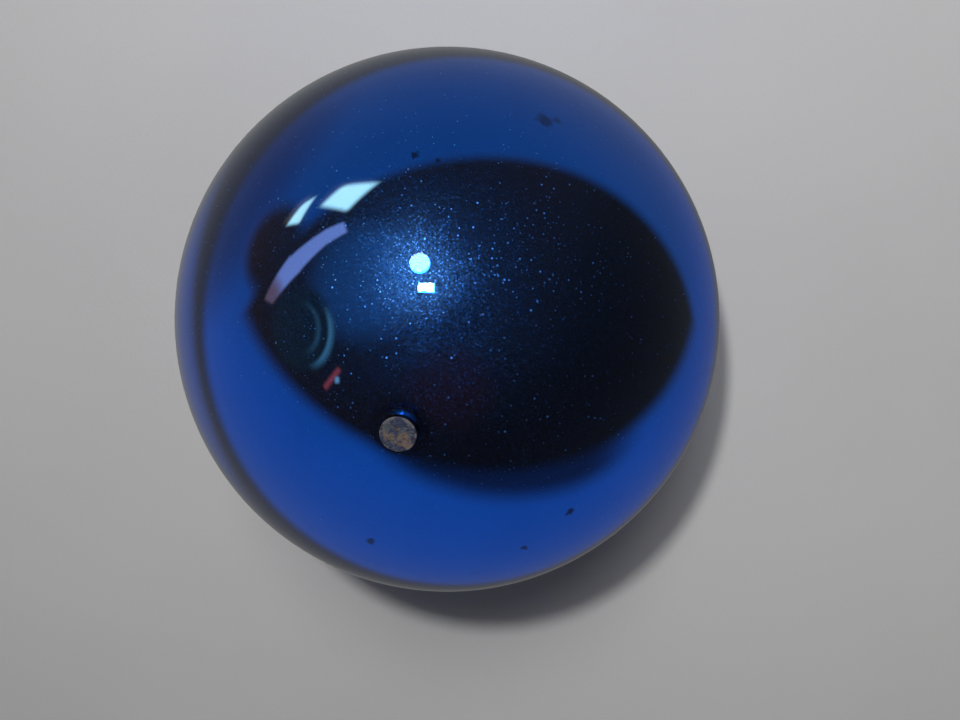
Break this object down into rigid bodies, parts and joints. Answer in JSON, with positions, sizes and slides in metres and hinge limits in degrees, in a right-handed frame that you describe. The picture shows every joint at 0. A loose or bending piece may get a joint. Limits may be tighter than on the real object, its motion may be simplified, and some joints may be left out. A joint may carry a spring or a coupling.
{
  "type": "glass ball ornament",
  "caption": "Hanging ball of silvered cobalt blue blown glass, with a short cracked-off neck closed by a cork plug with a putty face.",
  "frame": {"origin": "lowest point of the ball, straight below the neck", "axes": "+Z along the neck's axis, out of the ball; the part is round about Z, so X and Y are free"},
  "size_m": [0.065, 0.065, 0.0663],
  "materials": {
    "blue_glass": "gloss",
    "silvering": "polished",
    "cork": "matte",
    "putty": "matte"
  },
  "bodies": {
    "ball": {"glass_ball": "blue_glass", "silver_film": "silvering"},
    "plug": {"cork_stopper": "cork", "seal_cap": "putty"}
  },
  "joints": [
    {"name": "plug_pull", "type": "slide", "parent": "ball", "child": "plug", "axis": [0, 0, 1], "range_m": [0, 0.006]}
  ]
}
